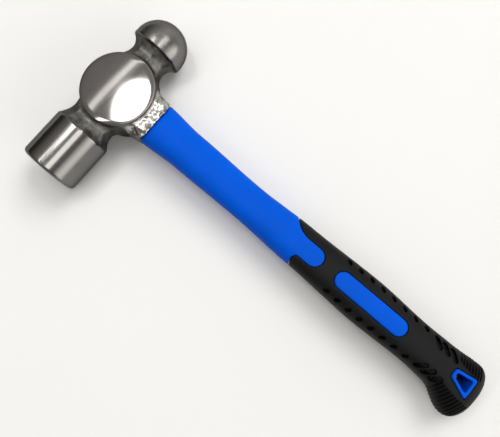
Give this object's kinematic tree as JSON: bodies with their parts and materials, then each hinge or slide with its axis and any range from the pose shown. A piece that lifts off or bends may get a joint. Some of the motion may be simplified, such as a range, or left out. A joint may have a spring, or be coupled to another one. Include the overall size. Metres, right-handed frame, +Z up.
{
  "type": "ball peen hammer",
  "caption": "Ball peen hammer with a forged steel head, ground cheeks and a moulded handle with a fibreglass core, a rubber grip and a hang hole.",
  "frame": {"origin": "centre of the base of the box that holds the hammer as it lies on its side", "axes": "+X along the handle from the head to the butt, +Y from the striking face to the ball, +Z up off the bench"},
  "size_m": [0.3, 0.1226, 0.038],
  "materials": {
    "forged_steel": "ground bright on the poll, cheeks and ball, dark forged necks",
    "blue_jacket": "satin moulded polypropylene",
    "black_rubber": "matt moulded thermoplastic rubber",
    "fibreglass": "pultruded glass fibre in resin",
    "epoxy": "cast black epoxy"
  },
  "bodies": {
    "root": {"head": "forged_steel", "core_rod": "fibreglass", "jacket": "blue_jacket", "eye_resin": "epoxy", "grip": "black_rubber"}
  },
  "joints": []
}
